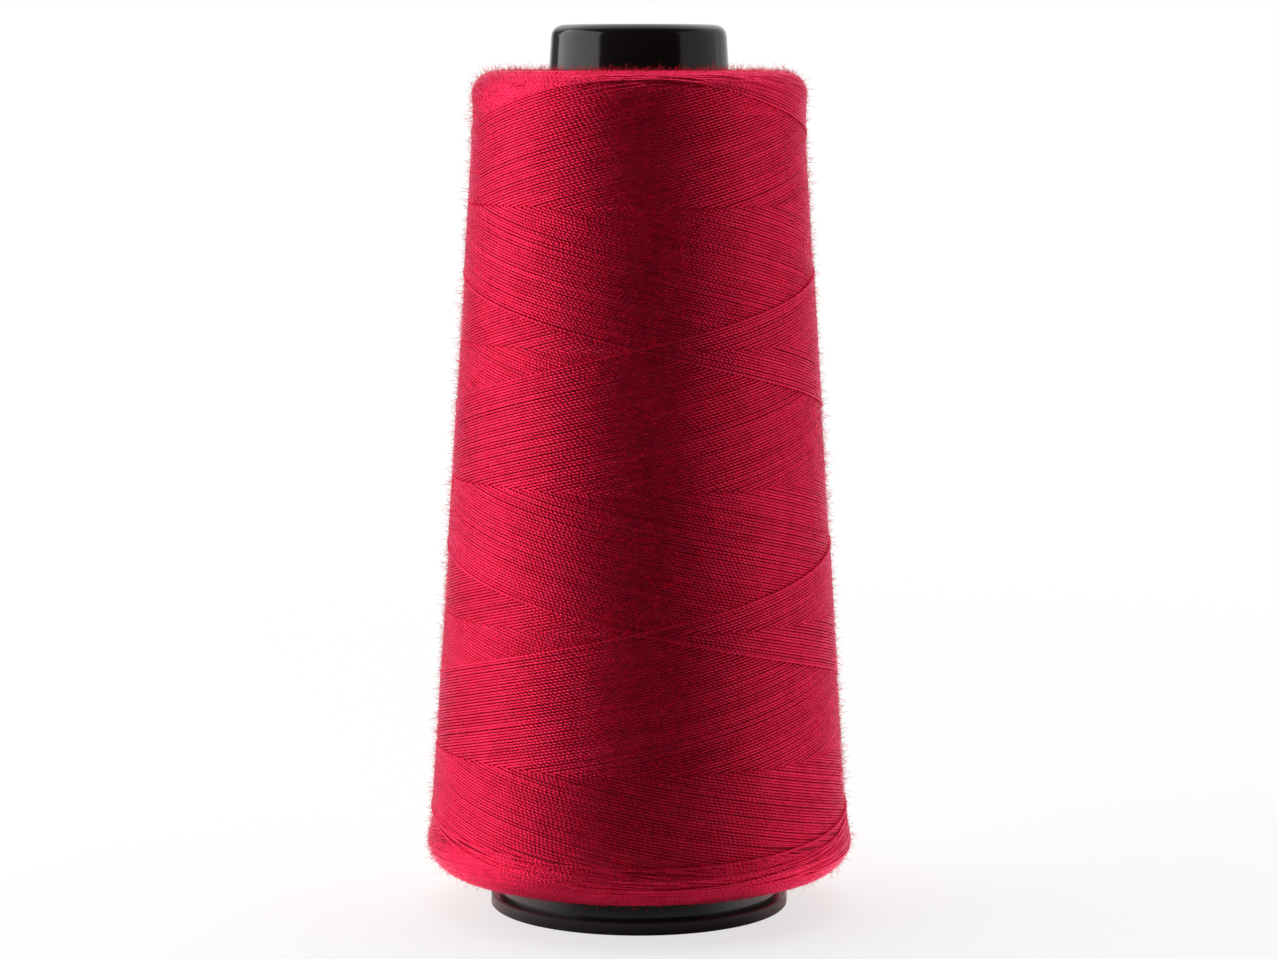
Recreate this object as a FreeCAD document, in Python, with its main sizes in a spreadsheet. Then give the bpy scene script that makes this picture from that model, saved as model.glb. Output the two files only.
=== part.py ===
import FreeCAD, Part

import math
import os
import re

import Sketcher

# The cone of thread stands on its foot. The origin is the centre of the foot's underside, +Z is up,
# and every length is in millimetres.

SIZES = {
    "total_height": (170.0, "floor to the top of the nose"),
    # cone moulding
    "cone_foot_radius": (27.3, "outside of the cone wall at its lower edge"),
    "nose_corner_radius": (16.6, "where the wall line would meet the top, before rounding"),
    "shell_wall": (1.6, "wall thickness of the cone"),
    "nose_rounding": (2.3, "outer rounding of the nose"),
    "nose_inner_bevel": (1.2, "bevel inside the nose"),
    "collar_radius": (11.0, "opening at the top of the nose"),
    "collar_wall": (1.4, "wall thickness of the collar under the opening"),
    "collar_length": (12.0, "collar's length down from the top"),
    "collar_lip": (1.0, "bevel round the opening, which the thread may brush"),
    "rib_thickness": (1.2, "gussets between the collar and the wall"),
    "rib_count": (6, "gussets round the collar"),
    "guide_radius": (25.3, "bore at the foot that the base's skirt slides in"),
    "groove_radius": (26.1, "bottom of the groove that the hooks run in"),
    "groove_low": (6.0, "lower edge of the hook groove, the hooks' stop"),
    "groove_high": (10.9, "upper edge of the hook groove"),
    # locking base
    "foot_radius": (28.85, "outside of the foot ring"),
    "foot_bevel": (0.25, "lower edge of the foot ring"),
    "foot_top_bevel": (0.25, "upper edge of the foot ring"),
    "ring_height": (2.5, "height of the foot ring's rim"),
    "seat_height": (3.1, "land on which the cone's lower edge rests"),
    "land_radius": (26.6, "outside of the land, which leaves the seam round it"),
    "socket_radius": (23.6, "open middle of the base, for a stand's holder"),
    "socket_chamfer": (0.6, "lead-in of the open middle"),
    "skirt_radius": (25.0, "outside of the base's skirt"),
    "skirt_height": (5.0, "top of the closed skirt, where the arms begin"),
    "hook_radius": (25.8, "outside of the hooks"),
    "hook_low": (8.6, "underside of the hooks"),
    "hook_land": (0.9, "upright face of a hook"),
    "arm_height": (10.6, "top of the arms"),
    "arm_inner_radius": (24.0, "inside of the arms"),
    "arm_tip_radius": (24.8, "outside of the arms at their tips"),
    "arm_angle": (22.0, "width of one arm, in degrees"),
    "arm_count": (6, "arms round the skirt"),
    # thread package
    "yarn_gap": (0.06, "clearance between the cone wall and the thread"),
    "package_low": (7.5, "lower end of the package"),
    "package_high": (162.0, "upper end of the package"),
    "package_foot_radius": (41.0, "outside of the package at its lower end"),
    "package_head_radius": (31.1, "outside of the package at its upper end"),
    "lower_rounding": (3.2, "lower edge of the package"),
    "shoulder_rounding": (4.3, "upper edge of the package"),
    # outer layer of turns
    "strand": (0.9, "thickness of a strand of the outer layer"),
    "strand_rise": (0.1, "clearance under the lower strands"),
    "strand_gap": (0.46, "clearance between crossing strands"),
    "traverse_low": (11.2, "height of the lower turning points"),
    "traverse_high": (157.6, "height of the upper turning points"),
    "stroke_count": (8, "strokes up and down, an even number"),
    "stroke_turns": (2.625, "turns in one stroke, so that strokes lie a quarter turn apart"),
    "reversal_angle": (66.0, "angle over which a strand turns back, in degrees"),
    "end_angle": (20.0, "angle from an end's turning point to where it goes in, in degrees"),
    "start_bearing": (90.0, "bearing of the two ends, at the back, in degrees"),
    "end_bend": (2.0, "bend radius where an end goes in"),
    "channel_clearance": (0.1, "room round an end inside the package"),
}

WALL = (
    "(cone_foot_radius - ({0} - seat_height) * (cone_foot_radius - nose_corner_radius)"
    " / (total_height - seat_height))"
)
LAYER_DEPTH = "(strand_rise + 2 * strand + strand_gap)"


def size(name):
    return SIZES[name][0]


def wall_radius(height):
    """Expression for the outside of the cone wall at a height that is itself an expression."""
    return WALL.format(height)


def bound(text):
    """The expression with each name taken from the sheet."""
    return re.sub(r"[a-z_]+", lambda word: "Sizes." + word.group(), text)


def make_sheet(doc):
    sheet = doc.addObject("Spreadsheet::Sheet", "Sizes")
    for row, (name, (value, meaning)) in enumerate(SIZES.items(), start=1):
        sheet.set(f"A{row}", name)
        sheet.set(f"B{row}", str(value))
        sheet.set(f"C{row}", meaning)
        sheet.setAlias(f"B{row}", name)
    doc.recompute()
    return sheet


def origin_feature(body, role):
    return [feature for feature in body.Origin.OriginFeatures if feature.Role == role][0]


def outline_sketch(body, name, corners):
    """A closed outline of straight sides in the XZ plane, each corner bound to the sheet."""
    sketch = body.newObject("Sketcher::SketchObject", name)
    sketch.AttachmentSupport = (origin_feature(body, "XZ_Plane"), [""])
    sketch.MapMode = "FlatFace"
    count = len(corners)
    for index in range(count):
        turn = 2 * math.pi / count
        ends = (turn * index, turn * (index + 1))
        rough = [FreeCAD.Vector(math.cos(angle), math.sin(angle), 0) for angle in ends]
        sketch.addGeometry(Part.LineSegment(*rough), False)
    for index in range(count):
        sketch.addConstraint(Sketcher.Constraint("Coincident", index, 2, (index + 1) % count, 1))
    for index, corner in enumerate(corners):
        for kind, expression in zip(("DistanceX", "DistanceY"), corner):
            number = sketch.addConstraint(Sketcher.Constraint(kind, -1, 1, index, 1, 1.0))
            sketch.setExpression(f"Constraints[{number}]", bound(expression))
    return sketch


def revolve(body, name, corners, angle=None):
    """Turn an outline round the Z axis, all the way or by an angle centred on the XZ plane."""
    sketch = outline_sketch(body, name + "_outline", corners)
    feature = body.newObject("PartDesign::Revolution", name)
    feature.Profile = sketch
    feature.ReferenceAxis = (sketch, ["V_Axis"])
    feature.Angle = 360
    if angle:
        feature.Midplane = True
        feature.setExpression("Angle", bound(angle))
    sketch.Visibility = False
    body.Document.recompute()
    return feature


def round_edges(feature, place):
    """Names of the feature's circular edges at a given radius and height."""
    radius, height = place
    found = []
    for index, edge in enumerate(feature.Shape.Edges, start=1):
        curve = edge.Curve
        if isinstance(curve, Part.Circle) and abs(curve.Radius - radius) < 0.01:
            if abs(curve.Center.z - height) < 0.01:
                found.append(f"Edge{index}")
    return found


def round_over(body, base, name, place, radius):
    """Fillet the circular edge at a radius and height."""
    feature = body.newObject("PartDesign::Fillet", name)
    feature.Base = (base, round_edges(base, place))
    feature.setExpression("Radius", bound(radius))
    body.Document.recompute()
    return feature


def bevel(body, base, name, place, width):
    """Chamfer the circular edge at a radius and height."""
    feature = body.newObject("PartDesign::Chamfer", name)
    feature.Base = (base, round_edges(base, place))
    feature.setExpression("Size", bound(width))
    body.Document.recompute()
    return feature


def polar(body, feature, name, count):
    """Repeat a feature round the Z axis."""
    pattern = body.newObject("PartDesign::PolarPattern", name)
    pattern.Originals = [feature]
    pattern.Axis = (origin_feature(body, "Z_Axis"), [""])
    pattern.Angle = 360
    pattern.setExpression("Occurrences", bound(count))
    body.Tip = pattern
    body.Document.recompute()
    return pattern


def make_cone(doc):
    """The moulded cone: a thin tapered wall, a rounded nose with a collar, and the hook groove."""
    body = doc.addObject("PartDesign::Body", "cone_body")
    body.Label = "cone_body"
    crown = "total_height - shell_wall"
    collar_low = "total_height - collar_length"
    shell = revolve(
        body,
        "cone_shell",
        [
            ("cone_foot_radius", "seat_height"),
            ("nose_corner_radius", "total_height"),
            ("collar_radius", "total_height"),
            ("collar_radius", collar_low),
            ("collar_radius + collar_wall", collar_low),
            ("collar_radius + collar_wall", crown),
            (wall_radius(crown) + " - shell_wall", crown),
            (wall_radius("groove_high") + " - shell_wall", "groove_high"),
            ("groove_radius", "groove_high"),
            ("groove_radius", "groove_low"),
            ("guide_radius", "groove_low"),
            ("guide_radius", "seat_height"),
        ],
    )
    top = size("total_height")
    nose = round_over(body, shell, "nose", (size("nose_corner_radius"), top), "nose_rounding")
    lip = bevel(body, nose, "lip", (size("collar_radius"), top), "collar_lip")
    taper = (size("cone_foot_radius") - size("nose_corner_radius")) / (top - size("seat_height"))
    inside = size("nose_corner_radius") - size("shell_wall") * (1 - taper)
    bevel(body, lip, "nose_inside", (inside, top - size("shell_wall")), "nose_inner_bevel")

    middle = "collar_radius + collar_wall / 2"
    wall_middle = " - shell_wall / 2"
    rib_outline = outline_sketch(
        body,
        "rib_outline",
        [
            (middle, collar_low),
            (wall_radius(collar_low) + wall_middle, collar_low),
            (wall_radius("total_height - nose_rounding") + wall_middle, "total_height - nose_rounding"),
            (middle, "total_height - shell_wall / 2"),
        ],
    )
    rib = body.newObject("PartDesign::Pad", "rib")
    rib.Profile = rib_outline
    rib.Midplane = True
    rib.setExpression("Length", bound("rib_thickness"))
    rib_outline.Visibility = False
    doc.recompute()
    polar(body, rib, "ribs", "rib_count")
    return body


def make_base(doc):
    """The locking base: a foot ring with a skirt and snap arms that hold it to the cone."""
    body = doc.addObject("PartDesign::Body", "locking_base")
    body.Label = "locking_base"
    ring = revolve(
        body,
        "foot_ring",
        [
            ("socket_radius", "0"),
            ("foot_radius", "0"),
            ("foot_radius", "ring_height"),
            ("land_radius", "ring_height"),
            ("land_radius", "seat_height"),
            ("skirt_radius", "seat_height"),
            ("skirt_radius", "skirt_height"),
            ("socket_radius", "skirt_height"),
        ],
    )
    foot = bevel(body, ring, "foot_edge", (size("foot_radius"), 0), "foot_bevel")
    rim_place = (size("foot_radius"), size("ring_height"))
    rim = bevel(body, foot, "foot_top_edge", rim_place, "foot_top_bevel")
    bevel(body, rim, "socket_lead_in", (size("socket_radius"), 0), "socket_chamfer")
    arm = revolve(
        body,
        "snap_arm",
        [
            ("arm_inner_radius", "seat_height"),
            ("skirt_radius", "seat_height"),
            ("skirt_radius", "hook_low"),
            ("hook_radius", "hook_low"),
            ("hook_radius", "hook_low + hook_land"),
            ("arm_tip_radius", "arm_height"),
            ("arm_inner_radius", "arm_height"),
        ],
        angle="arm_angle",
    )
    polar(body, arm, "snap_arms", "arm_count")
    return body


def make_wound_body(doc):
    """The thread under the outer layer, as one tapered solid with rounded edges."""
    body = doc.addObject("PartDesign::Body", "wound_body")
    body.Label = "wound_body"
    winding = revolve(
        body,
        "winding",
        [
            (wall_radius("package_low") + " + yarn_gap", "package_low"),
            ("package_foot_radius - " + LAYER_DEPTH, "package_low"),
            ("package_head_radius - " + LAYER_DEPTH, "package_high"),
            (wall_radius("package_high") + " + yarn_gap", "package_high"),
        ],
    )
    low = (size("package_foot_radius") - layer_depth(), size("package_low"))
    high = (size("package_head_radius") - layer_depth(), size("package_high"))
    lower = round_over(body, winding, "lower_edge", low, "lower_rounding")
    round_over(body, lower, "shoulder", high, "shoulder_rounding")
    return body


def layer_depth():
    return size("strand_rise") + 2 * size("strand") + size("strand_gap")


def flank_radius(height):
    """Outside of the wound body at a height."""
    low = size("package_low")
    fall = (size("package_foot_radius") - size("package_head_radius")) / (size("package_high") - low)
    return size("package_foot_radius") - layer_depth() - fall * (height - low)


def ease(share):
    """A smooth step from 0 to 1."""
    share = max(0.0, min(1.0, share))
    return share * share * (3 - 2 * share)


class Strand:
    """The centre line of the outer layer: up strokes lie lower, down strokes cross over them."""

    def __init__(self):
        self.stroke = size("stroke_turns") * 2 * math.pi
        self.half = math.radians(size("reversal_angle")) / 2
        height = size("traverse_high") - size("traverse_low")
        self.climb = height / (self.stroke - self.half)
        self.lowest = size("traverse_low") - self.climb * self.half / 2
        self.bearing = math.radians(size("start_bearing"))
        self.end = math.radians(size("end_angle"))
        self.under = size("strand_rise") + size("strand") / 2
        self.over = self.under + size("strand") + size("strand_gap")

    def rise(self, along):
        """Height above the lower turning line, part way along a stroke, rounded at both ends."""
        near = min(along, self.stroke - along)
        level = self.climb * near
        if near < self.half:
            level = self.climb * (near**2 + self.half**2) / (2 * self.half)
        return level if along < self.stroke / 2 else self.climb * self.stroke - level

    def layer(self, along, going_up):
        """0 for a strand that lies lower and 1 for one that lies over it, eased at the turns."""
        before = ease(0.5 + along / (2 * self.half))
        after = ease(0.5 + (self.stroke - along) / (2 * self.half))
        own = min(before, after)
        return 1 - own if going_up else own

    def point(self, angle):
        stroke = math.floor(angle / self.stroke)
        along = angle - stroke * self.stroke
        going_up = stroke % 2 == 0
        rise = self.rise(along)
        height = self.lowest + (rise if going_up else self.climb * self.stroke - rise)
        radius = flank_radius(height) + self.under + (self.over - self.under) * self.layer(along, going_up)
        bearing = self.bearing + angle
        return FreeCAD.Vector(radius * math.cos(bearing), radius * math.sin(bearing), height)

    def tangent(self, angle):
        step = 1e-4
        return (self.point(angle + step) - self.point(angle - step)).normalize()

    def stations(self):
        """Running angles of the points that the line goes through: quarter turns and the reversals."""
        strokes = size("stroke_count")
        straight = self.stroke - 2 * self.half
        parts = math.ceil(straight / (math.pi / 2))
        angles = [self.end]
        for stroke in range(strokes):
            turning_point = stroke * self.stroke
            if stroke:
                angles.append(turning_point)
            angles += [turning_point + self.half + straight * part / parts for part in range(parts + 1)]
        angles.append(strokes * self.stroke - self.end)
        return angles


def arc_towards(start, direction, end):
    """The point half way along the arc that leaves start in a direction and reaches end."""
    chord = end - start
    axis = direction.cross(chord).normalize()
    inward = axis.cross(direction)
    radius = chord.dot(chord) / (2 * chord.dot(inward))
    centre = start + inward * radius
    return centre + ((start + end) * 0.5 - centre).normalize() * radius


def biarc(start, leaving, end, arriving):
    """Two arcs that join two points in given directions with a smooth meeting."""
    chord = end - start
    both = leaving + arriving
    square = 2 * (leaving.dot(arriving) - 1)
    linear = -2 * chord.dot(both)
    root = math.sqrt(linear**2 - 4 * square * chord.dot(chord))
    reach = (-linear - root) / (2 * square)
    if reach < 0:
        reach = (-linear + root) / (2 * square)
    meeting = (start + end + (leaving - arriving) * reach) * 0.5
    first = Part.Arc(start, arc_towards(start, leaving, meeting), meeting)
    second = Part.Arc(meeting, arc_towards(end, arriving * -1, meeting), end)
    return [first.toShape(), second.toShape()]


def end_edges(point, along):
    """A straight run and a bend that bring a strand's end down square into the wound body.

    along points from the bend into the strand."""
    outward = FreeCAD.Vector(point.x, point.y, 0).normalize()
    outward = (outward - along * outward.dot(along)).normalize()
    radius = size("end_bend")
    centre = point - outward * radius
    foot = centre - along * radius
    middle = centre + (outward - along) * (radius / math.sqrt(2))
    buried = foot - outward * size("strand")
    run = Part.LineSegment(buried, foot).toShape()
    bend = Part.Arc(foot, middle, point).toShape()
    return [run, bend], buried, outward, along


def square_section(centre, axis, side_on, width):
    """A square across the strand, its corners half a width from the centre line."""
    other = axis.cross(side_on)
    half = width / 2
    corners = [centre + corner * half for corner in (side_on, other, side_on * -1, other * -1)]
    return Part.makePolygon(corners + corners[:1])


def make_outer_layer(doc, wound_body):
    """One unbroken strand wound over the wound body, and the package with room for its two ends."""
    strand = Strand()
    angles = strand.stations()
    first, start_run = strand.point(angles[0]), strand.tangent(angles[0])
    last, end_run = strand.point(angles[-1]), strand.tangent(angles[-1]) * -1
    start_edges, start_foot, start_axis, start_along = end_edges(first, start_run)
    last_edges, last_foot, last_axis, last_along = end_edges(last, end_run)
    edges = list(start_edges)
    for angle, following in zip(angles, angles[1:]):
        edges += biarc(
            strand.point(angle), strand.tangent(angle), strand.point(following), strand.tangent(following)
        )
    edges += reversed(last_edges)
    path = Part.Wire(edges)
    section = square_section(start_foot, start_axis, start_along, size("strand"))
    winding = doc.addObject("Part::Feature", "outer_winding")
    winding.Label = "outer_winding"
    winding.Shape = path.makePipeShell([section], True, False)
    print_winding(edges, path, winding.Shape, angles)

    channels = []
    room = size("strand") + 2 * size("channel_clearance")
    for run, foot, axis, along in (
        (start_edges, start_foot, start_axis, start_along),
        (last_edges, last_foot, last_axis, last_along),
    ):
        wide = square_section(foot, axis, along, room)
        channels.append(Part.Wire(run).makePipeShell([wide], True, False))
    cutter = doc.addObject("Part::Feature", "end_channels")
    cutter.Label = "end_channels"
    cutter.Shape = Part.makeCompound(channels)
    package = doc.addObject("Part::Cut", "thread_package")
    package.Label = "thread_package"
    package.Base = wound_body
    package.Tool = cutter
    return package, winding


def print_winding(edges, path, tube, angles):
    """Print the strand's bends, its least gap to itself and how its volume compares."""
    radii = [edge.Curve.Radius for edge in edges if isinstance(edge.Curve, Part.Circle)]
    turns = (angles[-1] - angles[0]) / (2 * math.pi)
    section = size("strand") ** 2 / 2
    print(f"outer winding: {turns:.2f} turns, {path.Length:.0f} mm, least bend {min(radii):.2f} mm")
    print(f"least gap to itself {least_gap(path):.2f} mm")
    print(f"volume {tube.Volume:.0f} mm3, section times length {section * path.Length:.0f} mm3")


def least_gap(path):
    """Least distance between two stretches of the strand, from points a third of a strand apart."""
    points = path.discretize(int(3 * path.Length / size("strand")))
    apart = path.Length / (len(points) - 1)
    cell = 3 * size("strand")
    boxes = {}
    keys = [tuple(int(value // cell) for value in point) for point in points]
    for index, key in enumerate(keys):
        boxes.setdefault(key, []).append(index)
    steps = [(x, y, z) for x in (-1, 0, 1) for y in (-1, 0, 1) for z in (-1, 0, 1)]
    least = cell
    for index, key in enumerate(keys):
        for step in steps:
            for other in boxes.get(tuple(a + b for a, b in zip(key, step)), ()):
                if (other - index) * apart > 2 * cell:
                    least = min(least, (points[other] - points[index]).Length)
    return least - size("strand")


def check(doc, nodes):
    """Stop if anything in the document failed or a piece is not one sound solid."""
    for item in doc.Objects:
        if "Invalid" in item.State or "Error" in item.State:
            raise RuntimeError(f"{item.Name} failed: {item.State}")
    for node in nodes:
        shape = node.Shape
        if shape.isNull() or not shape.isValid() or len(shape.Solids) != 1:
            raise RuntimeError(f"{node.Label} is not one sound solid")
        print(f"{node.Label}: {shape.Volume:.0f} mm3, {len(shape.Faces)} faces")


def main():
    doc = FreeCAD.newDocument("ThreadCone")
    make_sheet(doc)
    cone = make_cone(doc)
    base = make_base(doc)
    wound_body = make_wound_body(doc)
    package, winding = make_outer_layer(doc, wound_body)
    doc.recompute()
    nodes = [cone, base, package, winding]
    check(doc, nodes)
    os.makedirs("parts", exist_ok=True)
    for node in nodes:
        node.Shape.exportStep(f"parts/{node.Label}.step")


main()
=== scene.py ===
import math

import bpy
import numpy as np
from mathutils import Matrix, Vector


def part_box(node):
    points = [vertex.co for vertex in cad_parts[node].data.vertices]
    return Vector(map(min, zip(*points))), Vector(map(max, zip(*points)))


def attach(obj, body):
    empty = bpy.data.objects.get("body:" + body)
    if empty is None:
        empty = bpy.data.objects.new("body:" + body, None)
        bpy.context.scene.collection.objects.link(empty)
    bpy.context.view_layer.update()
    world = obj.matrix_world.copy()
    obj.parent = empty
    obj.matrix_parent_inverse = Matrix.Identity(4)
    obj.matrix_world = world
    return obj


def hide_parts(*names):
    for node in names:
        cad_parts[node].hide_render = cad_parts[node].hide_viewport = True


# A cone of sewing thread on its foot, in metres. It stands at the origin with its front towards -Y.
# Along the thread, turns are counted from the front and grow to the right, as the front view sees them.

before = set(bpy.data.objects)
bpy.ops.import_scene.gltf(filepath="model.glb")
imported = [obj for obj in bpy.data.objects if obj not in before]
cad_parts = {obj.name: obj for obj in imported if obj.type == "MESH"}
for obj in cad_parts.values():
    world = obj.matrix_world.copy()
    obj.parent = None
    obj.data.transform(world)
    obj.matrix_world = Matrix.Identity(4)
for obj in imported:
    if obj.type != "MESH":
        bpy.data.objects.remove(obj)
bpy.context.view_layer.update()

MM = 0.001
SEED = 20

# camera, with its dip in degrees
LENS = 100.0
SENSOR = 36.0
CLIP = (0.05, 20.0)
CAMERA_PLACE = (0.0, -681.0 * MM, 160.0 * MM)
CAMERA_DIP = 6.456

# light overhead: it leans back this many degrees, and its edge is soft between these two cosines
OVERHEAD_TILT = 32.0
OVERHEAD_EDGE = (0.55, 0.95)
OVERHEAD_RADIANCE = 1.85

# backdrop: where it grows from left to right, what it gives there, and where its edge is soft
BACKDROP_WIDTH = (-0.05, 0.2)
BACKDROP_RADIANCE = (0.12, 0.7)
BACKDROP_EDGE = (0.42, 0.66)
ROOM_RADIANCE = 0.02

# boxes of light on both sides
BOX_DISTANCE = 1.0
BOX_HEIGHT = 0.28
LEFT_BOX_SIZE = (1.54, 1.4)
LEFT_BOX_RADIANCE = 2.4
RIGHT_BOX_SIZE = (1.4, 1.4)
RIGHT_BOX_RADIANCE = 0.66

# gloss mirrors white from here on, softly between these two, where 1 is straight behind the object
MIRRORED_WHITE = (0.86, 0.98)

# floor: at these distances from the axis its glow comes up and goes down and white takes over
FLOOR_RADIUS = 4.0
FLOOR_SIDES = 64
GLOW_UP = (0.030, 0.048)
GLOW_DOWN = (0.054, 0.076)
WHITE_FROM = (0.12, 0.5)

# the floor's front ends softly between these two, where -1 is straight in front of the object
FRONT_EDGE = (-0.85, -0.35)

# floor: colour and glow as the camera sees them, and as light on the object meets them: in front,
# and how much more there is beside the object
SEEN_COLOUR = 0.30
BOUNCE_FRONT = 0.10
BOUNCE_BESIDE = 0.80
SEEN_GLOW = 0.70
RING_GLOW = 0.50
RING_FRONT = 1.1
RING_BESIDE = 0.6
GLOW_BESIDE = 0.20

# thread: how its plies turn, and how much plies (as painted shade), patches and strokes change its shade
TWIST = -2.0
TWIST_WOBBLE = 1.2
PLY_MIDDLE = 0.6
PLY_PAINTED_SHADE = 0.55
PATCH_SHADE = 0.5
STROKE_SHADE = 0.05
MIDDLE_SHADE = 0.5
SHADE_ENDS = (0.1, 0.9)
FIBRE_RELIEF = 0.35

# darkest and lightest colour of each material
# the thread's range covers its uneven shade and the painted shade and light of its plies
THREAD_COLOURS = ((0.50, 0.003, 0.031, 1), (1.0, 0.024, 0.103, 1))
FIBRE_COLOURS = ((1.0, 0.02, 0.07, 1), (1.0, 0.11, 0.18, 1))
# the thread below is painted darker than the outer turns: painted shade in the gaps
CORE_PAINTED_SHADE_COLOURS = ((0.36, 0.003, 0.025, 1), (0.75, 0.007, 0.060, 1))
CONE_COLOURS = ((0.010, 0.009, 0.009, 1), (0.016, 0.015, 0.015, 1))
# the foot's plastic is painted lighter than the cone's: painted light for the shade under the package
FOOT_PAINTED_LIGHT_COLOURS = ((0.034, 0.032, 0.033, 1), (0.056, 0.051, 0.052, 1))
CONE_ROUGHNESS = 0.12
FOOT_ROUGHNESS = 0.22

# outline of the thread package; its ends come from the thread_package part in model.glb
FLANK_AT_FLOOR = 41.42 * MM
FLANK_SLOPE = 0.0643
LOWER_ROUNDING = 5.4 * MM
SHOULDER_ROUNDING = 4.7 * MM
LOWER_BULGE = 0.63 * MM
SHOULDER_BULGE = 0.68 * MM
BULGE_REACH = 3.8 * MM
HEAD_ROOM = 0.65 * MM
FACE_POINTS = 39
ROUNDING_POINTS = 24
FLANK_POINTS = 198

# cone wall under the package
WALL_AT_FLOOR = 27.5 * MM
WALL_SLOPE = 0.0641

# the thread below the outermost turns begins this many strands below the outside
CORE_DEPTH = 0.7
CORE_CLEARANCE = 0.1 * MM
CORE_SIDES = 256

# how the thread lies; the pitch is its climb in one turn, and the bead is the plies' spacing along it
STRANDS = 94
PITCH = 51.9 * MM
FRONT_CROSSING = 110.3 * MM
FOOT_TURNING = FRONT_CROSSING - 2 * PITCH
HEAD_TURNING = FRONT_CROSSING + PITCH
LEG_TURNS = 3
STRAND = 0.57 * MM
BEAD = 0.95 * MM

# how high the thread lies, in layers: by its age, as the newest stroke, and where it turns back
LAYER = 0.40 * MM
PILE = 0.45
NEWEST_LIFT = 0.35
TURNING_LIFT = (-0.5, 0.2)

# how far each stroke, and slowly along it the thread, strays from its place and its shade
STRAY = 0.02 * MM
STROKE_STRAY = 0.6
SLOW_STRAY = 14
SLOW_STRAY_SAMPLES = 201
SLOW_TONE = 12
SLOW_TONE_SAMPLES = 401

# how wide the thread turns back, in turns
FOOT_TURNING_WIDTH = (0.13, 0.28)
HEAD_TURNING_WIDTH = (0.02, 0.12)
NEWEST_TURNING_WIDTH = 0.336

# how finely the turns are made: coarser where a strand is settled on top, and left out where it is
# hidden; a strand lies from -1, below, to 1, on top
SAMPLES_PER_CROSSING = 2
CROSSING_SAMPLES = 2 * SAMPLES_PER_CROSSING + 1
COARSE = 4
HIDDEN = -0.9
HIDDEN_MARGIN_SAMPLES = 5
SETTLED = 0.995
TUBE_SIDES = 6
TURN_PIECES = 4

# turns seen on the two end faces, as arcs that come up from inside the package and go back into it
END_SPACING = 0.30 * MM
END_OVERLAP = 9.0 * MM
END_ARCS = 8
END_ARC_TURNS = (0.20, 0.40)
END_ARC_SAMPLES = 20
END_BOW = (0.1 * MM, 0.7 * MM)

# how deep the arcs lie, in layers: at random, under the outermost turns, and at their own ends
END_UNEVEN = (0.0, 0.2)
END_SINK = 0.28
END_DIVE = 1.6

# the length along the arcs starts again after this many beads
END_BEADS = 400

# loose fibres
FIBRES = 124000
FIBRE_PIECES = 4
FIBRE_RADIUS = 0.032 * MM
FIBRE_ROOT = 0.1 * MM
FIBRE_LENGTH = 0.6 * MM
FIBRE_SHORTEST = 0.12 * MM
FIBRE_LONGEST = 2.4 * MM
FIBRE_BEND = 0.45
HEADING_SPREAD = 0.9
LYING_SHARE = 0.4
LYING_RISE = (0.05, 0.3)
STANDING_RISE = (0.3, 1.4)

# where the outside faces down more than this, only a share of the fibres grows
UNDERSIDE = -0.6
UNDERSIDE_SHARE = 0.4


# lines and surfaces


def wall_radius(height):
    return WALL_AT_FLOOR - WALL_SLOPE * height


def unit(vectors):
    return vectors / np.linalg.norm(vectors, axis=1, keepdims=True)


def circles(first, second, angle):
    """Points on unit circles, each spanned by two directions, at the same angles on every circle."""
    return first[:, None] * np.cos(angle)[:, None] + second[:, None] * np.sin(angle)[:, None]


def smooth(values, width):
    """Running mean of a line of values, in which the middle counts most."""
    weights = np.hanning(width + 2)[1:-1]
    padded = np.pad(values, width // 2, mode="edge")
    return np.convolve(padded, weights / weights.sum(), mode="valid")[: len(values)]


def rounded(distance, width):
    """What a turning adds to a sharp corner's path, this far from the corner."""
    return np.maximum(0, width - distance) ** 2 / (2 * width)


def section():
    """Radii and heights of the package's outside, from the wall over the flank and back to the wall."""
    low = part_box("thread_package")[0].z
    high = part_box("thread_package")[1].z - HEAD_ROOM
    lean = math.atan(FLANK_SLOPE)
    reach = FLANK_AT_FLOOR * math.cos(lean)

    def rounding(centre_height, radius, start, end):
        centre = (reach - radius - centre_height * math.sin(lean)) / math.cos(lean)
        angle = np.linspace(start, end, ROUNDING_POINTS)
        return centre + radius * np.cos(angle), centre_height + radius * np.sin(angle)

    lower_r, lower_z = rounding(low + LOWER_ROUNDING, LOWER_ROUNDING, -math.pi / 2, lean)
    upper_r, upper_z = rounding(high - SHOULDER_ROUNDING, SHOULDER_ROUNDING, lean, math.pi / 2)
    flank_z = np.linspace(lower_z[-1], upper_z[0], FLANK_POINTS + 2)[1:-1]
    flank_r = FLANK_AT_FLOOR - FLANK_SLOPE * flank_z
    radius = np.concatenate([lower_r, flank_r, upper_r])
    height = np.concatenate([lower_z, flank_z, upper_z])
    from_lower = np.maximum(0, height - lower_z[-1])
    from_upper = np.maximum(0, upper_z[0] - height)
    radius = radius + LOWER_BULGE * np.exp(-from_lower / BULGE_REACH)
    radius = radius + SHOULDER_BULGE * np.exp(-from_upper / BULGE_REACH)
    lower_face = np.linspace(wall_radius(low), radius[0], FACE_POINTS + 1)[:-1]
    upper_face = np.linspace(radius[-1], wall_radius(high), FACE_POINTS + 1)[1:]
    radius = np.concatenate([lower_face, radius, upper_face])
    height = np.concatenate([np.full(FACE_POINTS, low), height, np.full(FACE_POINTS, high)])
    return radius, height


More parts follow.
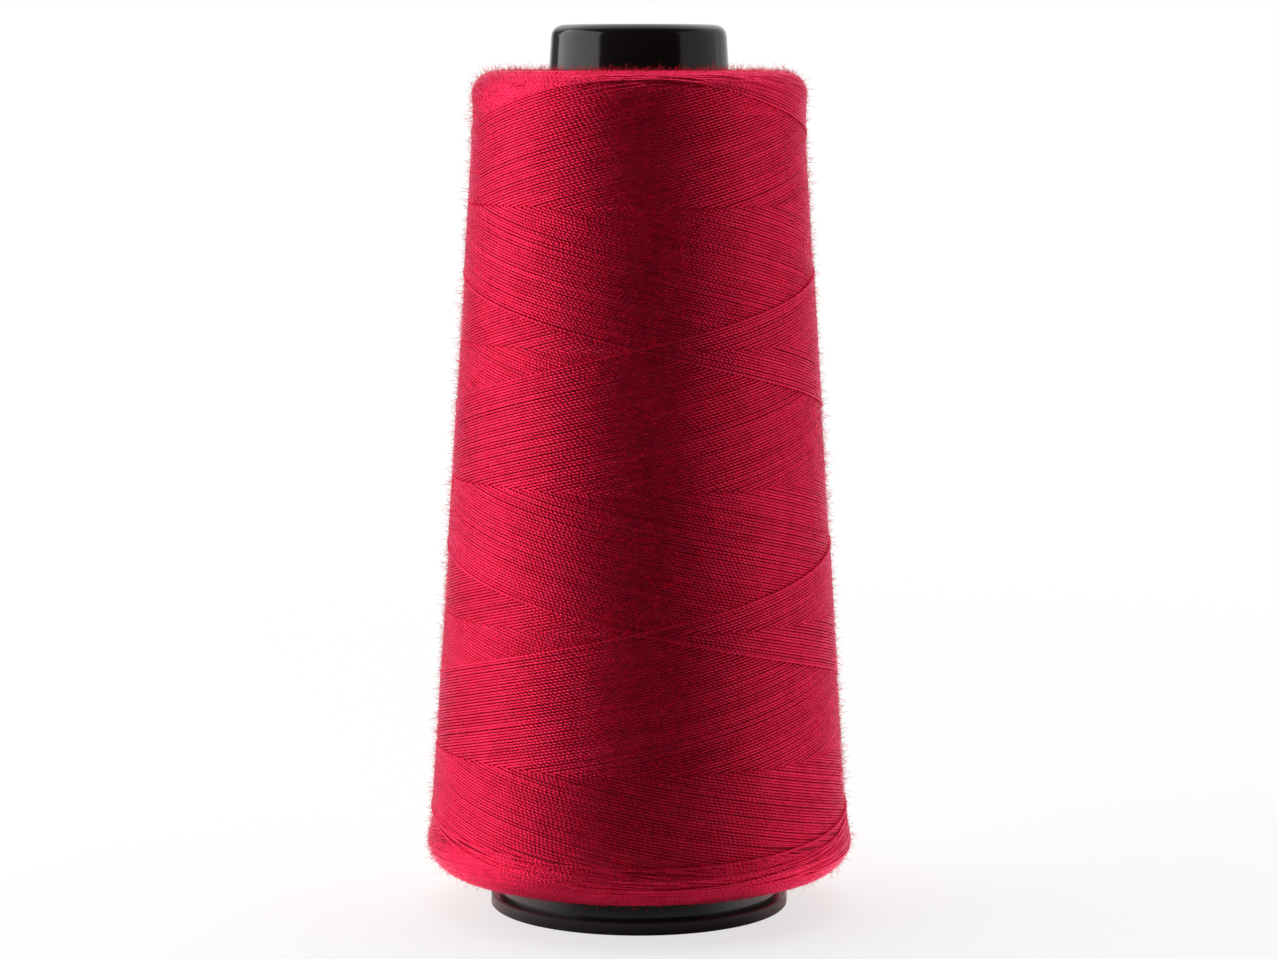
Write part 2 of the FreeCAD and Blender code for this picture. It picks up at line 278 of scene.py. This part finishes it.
class Outline:
    """The package's outside, looked up by a path parameter.

    On the flank the parameter is the height. Past either edge it goes on as a length."""

    def __init__(self):
        self.radius, self.height = section()
        steps = np.hypot(np.diff(self.radius), np.diff(self.height))
        run = np.concatenate([[0], np.cumsum(steps)])
        first = FACE_POINTS + ROUNDING_POINTS - 1
        last = FACE_POINTS + ROUNDING_POINTS + FLANK_POINTS
        self.along = self.height.copy()
        self.along[:first] = self.height[first] - (run[first] - run[:first])
        self.along[last:] = self.height[last] + (run[last:] - run[last])
        self.start = self.along[0]
        self.end = self.along[-1]
        self.out_r = np.gradient(self.height, run)
        self.out_z = -np.gradient(self.radius, run)

    def at(self, along):
        values = [self.radius, self.height, self.out_r, self.out_z]
        return [np.interp(along, self.along, value) for value in values]

    def place(self, turn, along, sunk):
        """Points and normals at a bearing in turns, sunk below the outside."""
        radius, height, out_r, out_z = self.at(along)
        length = np.hypot(out_r, out_z)
        out_r, out_z = out_r / length, out_z / length
        sine, cosine = np.sin(2 * np.pi * turn), -np.cos(2 * np.pi * turn)
        normal = np.stack([out_r * sine, out_r * cosine, out_z], 1)
        outside = np.stack([radius * sine, radius * cosine, height], 1)
        return outside - normal * np.reshape(sunk, (-1, 1)), normal


# pieces


def add_object(name, data):
    made = bpy.data.objects.new(name, data)
    bpy.context.scene.collection.objects.link(made)
    return made


def make_mesh(name, vertices, corners, sizes, uv=None, tone=None):
    """A mesh from arrays: corner vertex numbers face after face, and each face's number of corners."""
    mesh = bpy.data.meshes.new(name)
    mesh.vertices.add(len(vertices))
    mesh.vertices.foreach_set("co", np.asarray(vertices, np.float32).ravel())
    mesh.loops.add(len(corners))
    mesh.loops.foreach_set("vertex_index", np.asarray(corners, np.int32))
    mesh.polygons.add(len(sizes))
    starts = np.concatenate([[0], np.cumsum(sizes)[:-1]])
    mesh.polygons.foreach_set("loop_start", starts.astype(np.int32))
    mesh.polygons.foreach_set("use_smooth", np.ones(len(sizes), bool))
    if uv is not None:
        layer = mesh.uv_layers.new(name="strand")
        layer.uv.foreach_set("vector", np.asarray(uv, np.float32).ravel())
    if tone is not None:
        attribute = mesh.attributes.new("tone", "FLOAT", "POINT")
        attribute.data.foreach_set("value", np.asarray(tone, np.float32))
    mesh.update(calc_edges=True)
    mesh.validate()
    return add_object(name, mesh)


def finish_piece(piece, body, material):
    piece.data.materials.append(material)
    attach(piece, body)


def make_tubes(name, points, normals, tangents, run, length, tone):
    """Strands through rows of points; those with the same run number are one, closed at its ends."""
    side = unit(np.cross(tangents, normals))
    steps = np.arange(TUBE_SIDES)
    angle = 2 * np.pi * (steps + 0.5) / TUBE_SIDES
    ring = circles(np.cross(side, tangents), side, angle)
    vertices = (points[:, None] + ring * (STRAND / 2)).reshape(-1, 3)

    joined = np.nonzero(run[1:] == run[:-1])[0]
    parted = np.nonzero(run[1:] != run[:-1])[0]
    starts = np.concatenate([[0], parted + 1])
    ends = np.concatenate([parted, [len(points) - 1]])
    here = joined[:, None] * TUBE_SIDES
    beyond = here + TUBE_SIDES
    following = (steps + 1) % TUBE_SIDES
    quads = np.stack([here + steps, here + following, beyond + following, beyond + steps], 2)
    first_caps = starts[:, None] * TUBE_SIDES + steps[::-1]
    last_caps = ends[:, None] * TUBE_SIDES + steps
    caps = np.concatenate([first_caps, last_caps])
    corners = np.concatenate([quads.ravel(), caps.ravel()])
    sizes = np.concatenate([np.full(len(joined) * TUBE_SIDES, 4), np.full(len(caps), TUBE_SIDES)])

    along = length / BEAD
    u = np.stack([along[joined]] * 2 + [along[joined + 1]] * 2, 1)
    u = np.repeat(u[:, None], TUBE_SIDES, 1)
    v = np.stack([steps, steps + 1, steps + 1, steps], 1) / TUBE_SIDES
    v = np.repeat(v[None], len(joined), 0)
    cap_u = np.repeat(along[np.concatenate([starts, ends])], TUBE_SIDES)
    cap_v = np.full(cap_u.size, 0.5)
    uv = np.stack([np.concatenate([u.ravel(), cap_u]), np.concatenate([v.ravel(), cap_v])], 1)
    return make_mesh(name, vertices, corners, sizes, uv, np.repeat(tone, TUBE_SIDES))


def crossings(age, from_foot, rising, drift):
    """How far on top a strand lies, which is the younger where two cross, and how young the pair is."""
    crossed = 2 * from_foot * drift * STRANDS
    other = np.where(rising, (age + crossed) % STRANDS + 0.5, (age - crossed) % STRANDS)
    own = age + np.where(rising, 0.0, 0.5)
    on_top = smooth(np.clip(2 * (other - own), -1, 1), CROSSING_SAMPLES)
    pile = smooth(1 - (own + other) / STRANDS, CROSSING_SAMPLES)
    return on_top, pile


def wound_line(outline, chance):
    """The outermost turns as one line, oldest first: points, normals, how far on top, and strokes.

    A stroke comes down from the head and goes back up. Each lies one strand to the left of the one
    before, so that a full cycle of strokes covers the package."""
    stroke_turns = 2 * LEG_TURNS
    per_turn = 2 * SAMPLES_PER_CROSSING * STRANDS
    time = (np.arange(stroke_turns * STRANDS * per_turn) + 0.5) / per_turn
    stroke = np.floor(time / stroke_turns).astype(int)
    local = time - stroke_turns * stroke - LEG_TURNS
    age = STRANDS - 1.0 - stroke
    drift = 1 - 1 / (stroke_turns * STRANDS)
    turn = local * drift + age / STRANDS

    rising = local > 0
    from_foot = np.abs(local)
    from_head = LEG_TURNS - from_foot
    foot_width = chance.uniform(*FOOT_TURNING_WIDTH, STRANDS)
    foot_width[-1] = NEWEST_TURNING_WIDTH
    head_width = chance.uniform(*HEAD_TURNING_WIDTH, STRANDS + 1)
    foot = foot_width[stroke]
    head = head_width[stroke + rising]
    along = FOOT_TURNING + PITCH * (from_foot + rounded(from_foot, foot) - rounded(from_head, head))
    stroke_stray = chance.normal(0, STROKE_STRAY, STRANDS)[stroke]
    slow_stray = SLOW_STRAY * smooth(chance.normal(0, 1, len(time)), SLOW_STRAY_SAMPLES)
    along += STRAY * (stroke_stray + slow_stray)

    on_top, pile = crossings(age, from_foot, rising, drift)
    foot_lift = chance.uniform(*TURNING_LIFT, STRANDS)[stroke]
    foot_lift *= np.exp(-((from_foot / foot) ** 2))
    head_lift = chance.uniform(*TURNING_LIFT, STRANDS + 1)[stroke + rising]
    head_lift *= np.exp(-((from_head / head) ** 2))
    newest = NEWEST_LIFT * (stroke == STRANDS - 1)
    sunk = STRAND / 2 + LAYER * ((1 - on_top) / 2 - PILE * pile - foot_lift - head_lift - newest)
    points, normals = outline.place(turn, along, sunk)
    return points, normals, on_top, stroke


def make_turns(outline, chance, material):
    """The outermost turns as tubes, without the stretches that lie hidden under others."""
    points, normals, on_top, stroke = wound_line(outline, chance)
    steps = np.gradient(points, axis=0)
    stride = np.linalg.norm(steps, axis=1)
    tangents = steps / stride[:, None]
    length = np.cumsum(stride)
    shown = smooth((on_top > HIDDEN).astype(float), HIDDEN_MARGIN_SAMPLES) > 0
    change = shown[1:] != shown[:-1]
    changes = np.concatenate([[0], np.cumsum(change)])
    edge = np.concatenate([[True], change]) | np.concatenate([change, [True]])
    settled = (on_top > SETTLED) & (np.arange(len(points)) % COARSE > 0)
    kept = shown & (~settled | edge)
    slow_tone = smooth(chance.normal(0, 1, len(points)), SLOW_TONE_SAMPLES) * SLOW_TONE
    tone = chance.normal(0, 1, STRANDS)[stroke] + slow_tone
    pieces = []
    for part in range(TURN_PIECES):
        chosen = kept & (stroke * TURN_PIECES // STRANDS == part)
        run = changes[chosen]
        start = np.concatenate([[True], run[1:] != run[:-1]])
        origin = length[chosen][start][np.cumsum(start) - 1]
        piece = make_tubes(
            f"thread_turns_{part + 1}",
            points[chosen],
            normals[chosen],
            tangents[chosen],
            run,
            length[chosen] - origin,
            tone[chosen],
        )
        finish_piece(piece, "cone", material)
        pieces.append(piece)
    return pieces


def make_end_turns(name, outline, chance, first, last, material):
    """Arcs of thread round an end face, from the wall over the edge to where the outer turns begin."""
    rings = np.arange(first + END_SPACING / 2, last, END_SPACING)
    ring = np.repeat(rings, END_ARCS)
    count = len(ring)
    middle = (np.tile(np.arange(END_ARCS), len(rings)) + chance.uniform(0, 1, count)) / END_ARCS
    middle += np.repeat(chance.uniform(0, 1, len(rings)), END_ARCS)
    half = chance.uniform(*END_ARC_TURNS, count) / 2
    outward = 1 if last == outline.end else -1
    bow = -outward * chance.uniform(*END_BOW, count)
    step = np.linspace(-1, 1, END_ARC_SAMPLES)
    turn = (middle[:, None] + half[:, None] * step).ravel()
    along = (ring[:, None] + bow[:, None] * step**2).ravel()
    along = np.clip(along, outline.start + STRAND / 2, outline.end - STRAND / 2)

    edge = first if outward > 0 else last
    within = np.clip(np.abs(ring - edge) / END_OVERLAP, 0, 1)
    layers = chance.uniform(*END_UNEVEN, count) + END_SINK * np.minimum(1, 2 * (1 - within))
    depth = STRAND / 2 + LAYER * layers
    sunk = (depth[:, None] + END_DIVE * LAYER * step**4).ravel()
    points, normals = outline.place(turn, along, sunk)
    run = np.repeat(np.arange(count), END_ARC_SAMPLES)
    steps = np.gradient(points.reshape(count, END_ARC_SAMPLES, 3), axis=1).reshape(-1, 3)
    stride = np.linalg.norm(steps, axis=1)
    tangents = steps / stride[:, None]
    length = np.cumsum(stride) % (END_BEADS * BEAD)
    tone = np.repeat(chance.normal(0, 1, count), END_ARC_SAMPLES)
    piece = make_tubes(name, points, normals, tangents, run, length, tone)
    finish_piece(piece, "cone", material)


def fibre_roots(outline, chance):
    """Roots spread over the package's outside: points, normals and directions round the cone."""
    run = np.hypot(np.diff(outline.radius), np.diff(outline.height))
    share = np.where(outline.out_z[1:] < UNDERSIDE, UNDERSIDE_SHARE, 1.0)
    bands = run * (outline.radius[1:] + outline.radius[:-1]) * share
    area = np.concatenate([[0], np.cumsum(bands)])
    along = np.interp(chance.uniform(0, area[-1], FIBRES), area, outline.along)
    turn = chance.uniform(0, 1, FIBRES)
    root, normal = outline.place(turn, along, FIBRE_ROOT)
    bearing = 2 * np.pi * turn
    around = np.stack([np.cos(bearing), np.sin(bearing), np.zeros(FIBRES)], 1)
    return root, normal, around


def fibre_directions(normal, around, chance):
    """The directions of each fibre's two halves: most stand up from the thread, some lie nearly flat."""
    across = np.cross(normal, around)
    lying = chance.uniform(0, 1, FIBRES) < LYING_SHARE
    lying_rise = chance.uniform(*LYING_RISE, FIBRES)
    standing_rise = chance.uniform(*STANDING_RISE, FIBRES)
    rise = np.where(lying, lying_rise, standing_rise)
    heading = chance.normal(0, HEADING_SPREAD, FIBRES) + np.pi * chance.integers(0, 2, FIBRES)
    flat = around * np.cos(heading)[:, None] + across * np.sin(heading)[:, None]
    first = normal * np.sin(rise)[:, None] + flat * np.cos(rise)[:, None]
    second = unit(first + chance.normal(0, FIBRE_BEND, (FIBRES, 3)))
    return first, second


def make_fibres(outline, chance, material):
    """Fine loose fibres, each a closed sliver with a root, three corners round its middle and a tip."""
    root, normal, around = fibre_roots(outline, chance)
    first, second = fibre_directions(normal, around, chance)
    length = chance.exponential(FIBRE_LENGTH, FIBRES) + FIBRE_SHORTEST
    half = np.minimum(length, FIBRE_LONGEST)[:, None] / 2
    middle = root + first * half
    tip = middle + second * half
    side = unit(np.cross(first, second))
    ring = circles(np.cross(first, side), side, 2 * np.pi * np.arange(3) / 3)
    vertices = np.concatenate([root[:, None], middle[:, None] + ring * FIBRE_RADIUS, tip[:, None]], 1)
    faces = np.array([[1, 2, 0], [2, 3, 0], [3, 1, 0], [2, 1, 4], [3, 2, 4], [1, 3, 4]])
    for part, chosen in enumerate(np.array_split(vertices, FIBRE_PIECES)):
        offsets = np.arange(len(chosen))[:, None] * vertices.shape[1]
        corners = (offsets + faces.ravel()).ravel()
        sizes = np.full(len(chosen) * len(faces), 3)
        piece = make_mesh(f"thread_fibres_{part + 1}", chosen.reshape(-1, 3), corners, sizes)
        finish_piece(piece, "cone", material)


def make_core(outline, material):
    """The thread below the outermost turns, turned from the same outline."""
    sunk = STRAND * CORE_DEPTH
    radius = outline.radius - outline.out_r * sunk
    height = outline.height - outline.out_z * sunk
    clear = radius > wall_radius(height) + CORE_CLEARANCE
    radius, height = radius[clear], height[clear]
    inside = wall_radius(height[[-1, 0]]) + CORE_CLEARANCE
    radius = np.concatenate([radius, inside])
    height = np.concatenate([height, height[[-1, 0]]])

    angle = np.linspace(0, 2 * np.pi, CORE_SIDES, endpoint=False)
    x = np.outer(radius, np.cos(angle))
    y = np.outer(radius, np.sin(angle))
    z = np.outer(height, np.ones(CORE_SIDES))
    vertices = np.stack([x, y, z], 2).reshape(-1, 3)
    row = np.arange(len(radius))[:, None] * CORE_SIDES
    next_row = np.roll(row, -1)
    column = np.arange(CORE_SIDES)
    next_column = np.roll(column, -1)
    quads = np.stack([row + column, row + next_column, next_row + next_column, next_row + column], 2)
    sizes = np.full(len(radius) * CORE_SIDES, 4)
    piece = make_mesh("thread_core", vertices, quads.ravel(), sizes)
    finish_piece(piece, "cone", material)
    return piece


# materials; an owner is the material or the world that holds the nodes


def join(owner, source, target):
    owner.node_tree.links.new(source, target)


def node(owner, kind, inputs=(), **settings):
    """Add a node, set its options and fill or link its inputs."""
    made = owner.node_tree.nodes.new(kind)
    for key, value in settings.items():
        setattr(made, key, value)
    for key, value in dict(inputs).items():
        if isinstance(value, bpy.types.NodeSocket):
            join(owner, value, made.inputs[key])
        else:
            made.inputs[key].default_value = value
    return made


def smooth_range(owner, value, source, target):
    """Map a value from one range to another with soft ends."""
    inputs = {"Value": value}
    inputs["From Min"], inputs["From Max"] = source
    inputs["To Min"], inputs["To Max"] = target
    return node(owner, "ShaderNodeMapRange", inputs, interpolation_type="SMOOTHSTEP").outputs[0]


def math_node(owner, operation, *values, clamp=False):
    made = node(owner, "ShaderNodeMath", enumerate(values), operation=operation, use_clamp=clamp)
    return made.outputs[0]


def mix(owner, share, low, high):
    return node(owner, "ShaderNodeMix", {0: share, 2: low, 3: high}).outputs[0]


def noise(owner, scale, detail):
    """Noise in the object's own space."""
    place = node(owner, "ShaderNodeTexCoord").outputs["Object"]
    inputs = {"Vector": place, "Scale": scale, "Detail": detail}
    return node(owner, "ShaderNodeTexNoise", inputs).outputs[0]


def new_material(name):
    material = bpy.data.materials.new(name)
    material.use_nodes = True
    material.node_tree.nodes.clear()
    output = node(material, "ShaderNodeOutputMaterial")
    shader = node(material, "ShaderNodeBsdfPrincipled")
    join(material, shader.outputs[0], output.inputs[0])
    return material, shader


def colour_by(material, shader, shade, colours, ends=(0.0, 1.0)):
    """Colour a shader from dark to light as the shade goes from one end to the other."""
    ramp = node(material, "ShaderNodeValToRGB", {0: shade})
    for element, end, colour in zip(ramp.color_ramp.elements, ends, colours):
        element.position = end
        element.color = colour
    join(material, ramp.outputs[0], shader.inputs["Base Color"])


def bump_by(material, shader, height, strength, distance):
    inputs = {"Height": height, "Strength": strength, "Distance": distance}
    bump = node(material, "ShaderNodeBump", inputs)
    join(material, bump.outputs[0], shader.inputs["Normal"])


def seen_ray(owner, behind):
    """1 for what the camera sees, straight, through a fibre or mirrored from behind the object, and 0
    for light on the object. The room in front of it is dark, so gloss doesn't mirror white there."""
    path = node(owner, "ShaderNodeLightPath").outputs
    white = smooth_range(owner, behind, MIRRORED_WHITE, (0.0, 1.0))
    mirrored = math_node(owner, "MULTIPLY", path["Is Glossy Ray"], white)
    through = math_node(owner, "MAXIMUM", path["Is Camera Ray"], path["Is Transmission Ray"])
    return math_node(owner, "MAXIMUM", through, mirrored)


def ply_humps(material):
    """How far the two twisted plies stand up, from the place along the strand and round it."""
    uv = node(material, "ShaderNodeUVMap", uv_map="strand").outputs[0]
    parts = node(material, "ShaderNodeSeparateXYZ", {0: uv}).outputs
    unevenness = {"Vector": uv, "Scale": 0.35, "Detail": 1.0}
    wobble = node(material, "ShaderNodeTexNoise", unevenness, noise_dimensions="2D").outputs[0]
    phase = math_node(material, "MULTIPLY_ADD", parts[1], TWIST, parts[0])
    phase = math_node(material, "MULTIPLY_ADD", wobble, TWIST_WOBBLE, phase)
    wave = math_node(material, "COSINE", math_node(material, "MULTIPLY", phase, math.pi))
    return math_node(material, "ABSOLUTE", wave)


def thread_material():
    """Two plies twisted together, dyed crimson, with fine fibres, a slightly uneven shade, and painted
    shade between the plies.
    """
    material, shader = new_material("spun_thread")
    hump = ply_humps(material)
    tone = node(material, "ShaderNodeAttribute", attribute_name="tone").outputs["Fac"]
    patch = math_node(material, "SUBTRACT", noise(material, scale=260.0, detail=2.0), 0.5)
    # Painted shade and light: the valleys between the plies are painted darker and their crests lighter.
    raised = math_node(material, "SUBTRACT", hump, PLY_MIDDLE)
    shade = math_node(material, "MULTIPLY_ADD", tone, STROKE_SHADE, MIDDLE_SHADE)
    shade = math_node(material, "MULTIPLY_ADD", patch, PATCH_SHADE, shade)
    shade = math_node(material, "MULTIPLY_ADD", raised, PLY_PAINTED_SHADE, shade, clamp=True)
    colour_by(material, shader, shade, THREAD_COLOURS, SHADE_ENDS)
    fibre = noise(material, scale=9000.0, detail=2.0)
    height = math_node(material, "MULTIPLY_ADD", fibre, FIBRE_RELIEF, hump)
    bump_by(material, shader, height, strength=1.0, distance=0.07 * MM)
    # The gloss of dyed fibres takes the dye's colour, which the metallic share gives it.
    shader.inputs["Metallic"].default_value = 0.78
    shader.inputs["Roughness"].default_value = 0.26
    shader.inputs["Specular IOR Level"].default_value = 0.75
    shader.inputs["Specular Tint"].default_value = (1.0, 0.45, 0.68, 1)
    shader.inputs["Sheen Weight"].default_value = 0.04
    shader.inputs["Sheen Roughness"].default_value = 0.4
    shader.inputs["Sheen Tint"].default_value = (1.0, 0.25, 0.5, 1)
    return material


def fibre_material():
    """Single loose fibres, paler than the thread because light comes through them."""
    material, shader = new_material("loose_fibre")
    colour_by(material, shader, noise(material, scale=700.0, detail=1.0), FIBRE_COLOURS)
    shader.inputs["Roughness"].default_value = 0.25
    shader.inputs["Transmission Weight"].default_value = 0.8
    shader.inputs["IOR"].default_value = 1.1
    return material


def core_material():
    """Thread seen in the gaps between the turns, painted darker than the outer turns as painted shade.
    """
    material, shader = new_material("thread_below")
    grain = noise(material, scale=2500.0, detail=2.0)
    colour_by(material, shader, grain, CORE_PAINTED_SHADE_COLOURS)
    bump_by(material, shader, grain, strength=0.6, distance=0.1 * MM)
    shader.inputs["Roughness"].default_value = 0.85
    return material


def plastic_material(name, roughness, colours):
    """Black moulded plastic: glossy, with a faint unevenness and fine rub marks."""
    material, shader = new_material(name)
    flow = noise(material, scale=90.0, detail=3.0)
    inputs = {"Value": flow, "To Min": roughness * 0.8, "To Max": roughness * 1.35}
    spread = node(material, "ShaderNodeMapRange", inputs)
    join(material, spread.outputs[0], shader.inputs["Roughness"])
    colour_by(material, shader, noise(material, scale=2600.0, detail=2.0), colours)
    bump_by(material, shader, flow, strength=0.04, distance=0.4 * MM)
    shader.inputs["Specular IOR Level"].default_value = 0.33
    return material


# stage


def floor_material():
    """Pale, so that it keeps the shadow, and white for the camera further out."""
    material, shader = new_material("floor")
    shader.inputs["Roughness"].default_value = 0.9
    shader.inputs["Specular IOR Level"].default_value = 0.0
    place = node(material, "ShaderNodeNewGeometry").outputs["Position"]
    distance = node(material, "ShaderNodeVectorMath", {0: place}, operation="LENGTH").outputs["Value"]
    depth = node(material, "ShaderNodeSeparateXYZ", {0: place}).outputs[1]
    behind = math_node(material, "DIVIDE", depth, distance)
    seen = seen_ray(material, behind)
    beside = smooth_range(material, behind, FRONT_EDGE, (0.0, 1.0))

    # Light on the object meets a floor painted dark in front, as painted shade. The camera sees the same
    # all round.
    bounce = math_node(material, "MULTIPLY_ADD", beside, BOUNCE_BESIDE, BOUNCE_FRONT)
    join(material, mix(material, seen, bounce, SEEN_COLOUR), shader.inputs["Base Color"])

    # The glow that lights the object is strongest in a ring round the foot, and weaker in front.
    glow_up = smooth_range(material, distance, GLOW_UP, (0.0, 1.0))
    glow_down = smooth_range(material, distance, GLOW_DOWN, (RING_GLOW, 0.0))
    ring = math_node(material, "MULTIPLY", glow_up, glow_down)
    sides = math_node(material, "MULTIPLY_ADD", beside, RING_BESIDE, RING_FRONT)
    near = math_node(material, "MULTIPLY", ring, sides)
    fill = math_node(material, "MULTIPLY_ADD", beside, GLOW_BESIDE, near)
    glow = node(material, "ShaderNodeEmission", {"Strength": mix(material, seen, fill, SEEN_GLOW)})
    ground = node(material, "ShaderNodeAddShader", {0: shader.outputs[0], 1: glow.outputs[0]})

    far = smooth_range(material, distance, WHITE_FROM, (0.0, 1.0))
    share = math_node(material, "MULTIPLY", far, seen)
    white = node(material, "ShaderNodeEmission", {"Strength": 1.0})
    inputs = {0: share, 1: ground.outputs[0], 2: white.outputs[0]}
    surface = node(material, "ShaderNodeMixShader", inputs)
    output = [item for item in material.node_tree.nodes if item.type == "OUTPUT_MATERIAL"][0]
    join(material, surface.outputs[0], output.inputs[0])
    return material


def make_floor():
    corners = []
    for side in range(FLOOR_SIDES):
        angle = 2 * math.pi * side / FLOOR_SIDES
        corners.append((FLOOR_RADIUS * math.cos(angle), FLOOR_RADIUS * math.sin(angle), 0))
    mesh = bpy.data.meshes.new("floor")
    mesh.from_pydata(corners, [], [list(range(FLOOR_SIDES))])
    mesh.materials.append(floor_material())
    floor = add_object("floor", mesh)


def make_world():
    """White for the camera. As light, a backdrop that is brighter on the right and a light overhead."""
    world = bpy.data.worlds.new("studio")
    bpy.context.scene.world = world
    world.use_nodes = True
    world.node_tree.nodes.clear()
    direction = node(world, "ShaderNodeTexCoord").outputs["Generated"]
    parts = node(world, "ShaderNodeSeparateXYZ", {0: direction}).outputs
    right = smooth_range(world, parts[0], BACKDROP_WIDTH, BACKDROP_RADIANCE)
    behind = smooth_range(world, parts[1], BACKDROP_EDGE, (0.0, 1.0))
    backdrop = math_node(world, "MULTIPLY_ADD", right, behind, ROOM_RADIANCE)
    tilt = math.radians(OVERHEAD_TILT)
    vectors = {0: direction, 1: (0, math.sin(tilt), math.cos(tilt))}
    facing = node(world, "ShaderNodeVectorMath", vectors, operation="DOT_PRODUCT").outputs["Value"]
    overhead = smooth_range(world, facing, OVERHEAD_EDGE, (0.0, OVERHEAD_RADIANCE))
    room = math_node(world, "MAXIMUM", backdrop, overhead)
    strength = mix(world, seen_ray(world, parts[1]), room, 1.0)
    background = node(world, "ShaderNodeBackground", {"Color": (1, 1, 1, 1), "Strength": strength})
    output = node(world, "ShaderNodeOutputWorld")
    join(world, background.outputs[0], output.inputs[0])


def make_softbox(name, bearing, size, radiance):
    """An upright panel of light that faces the object, at a bearing in degrees from front to right."""
    lamp = bpy.data.lights.new(name, "AREA")
    lamp.shape = "RECTANGLE"
    lamp.size, lamp.size_y = size
    lamp.energy = radiance * math.pi * size[0] * size[1]
    box = add_object(name, lamp)
    angle = math.radians(bearing)
    box.location = (BOX_DISTANCE * math.sin(angle), -BOX_DISTANCE * math.cos(angle), BOX_HEIGHT)
    box.rotation_euler = (math.pi / 2, 0, angle)
    box.visible_camera = False


def make_camera():
    data = bpy.data.cameras.new("camera")
    data.lens = LENS
    data.sensor_width = SENSOR
    data.clip_start, data.clip_end = CLIP
    camera = add_object("camera", data)
    camera.location = CAMERA_PLACE
    camera.rotation_euler = (math.radians(90 - CAMERA_DIP), 0, 0)
    bpy.context.scene.camera = camera


def make_thread():
    chance = np.random.default_rng(SEED)
    outline = Outline()
    thread = thread_material()
    core = make_core(outline, core_material())
    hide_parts("thread_package")
    for piece in make_turns(outline, chance, thread):
        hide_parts("outer_winding")
    low_face = (outline.start, FOOT_TURNING + END_OVERLAP)
    high_face = (HEAD_TURNING - END_OVERLAP, outline.end)
    make_end_turns("thread_end_low", outline, chance, *low_face, thread)
    make_end_turns("thread_end_high", outline, chance, *high_face, thread)
    make_fibres(outline, chance, fibre_material())


def paint(name, material):
    """Give a CAD node a new material."""
    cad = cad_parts[name]
    cad.data.materials.clear()
    cad.data.materials.append(material)


def main():
    make_thread()
    paint("cone_body", plastic_material("cone_plastic", CONE_ROUGHNESS, CONE_COLOURS))
    # The foot's plastic is painted lighter than the cone's, as painted light for the shade under the
    # package.
    paint("locking_base", plastic_material("base_plastic", FOOT_ROUGHNESS, FOOT_PAINTED_LIGHT_COLOURS))
    make_floor()
    make_world()
    make_softbox("left_box", -90.0, LEFT_BOX_SIZE, LEFT_BOX_RADIANCE)
    make_softbox("right_box", 90.0, RIGHT_BOX_SIZE, RIGHT_BOX_RADIANCE)
    make_camera()
    bpy.context.scene.view_settings.view_transform = "Standard"


main()
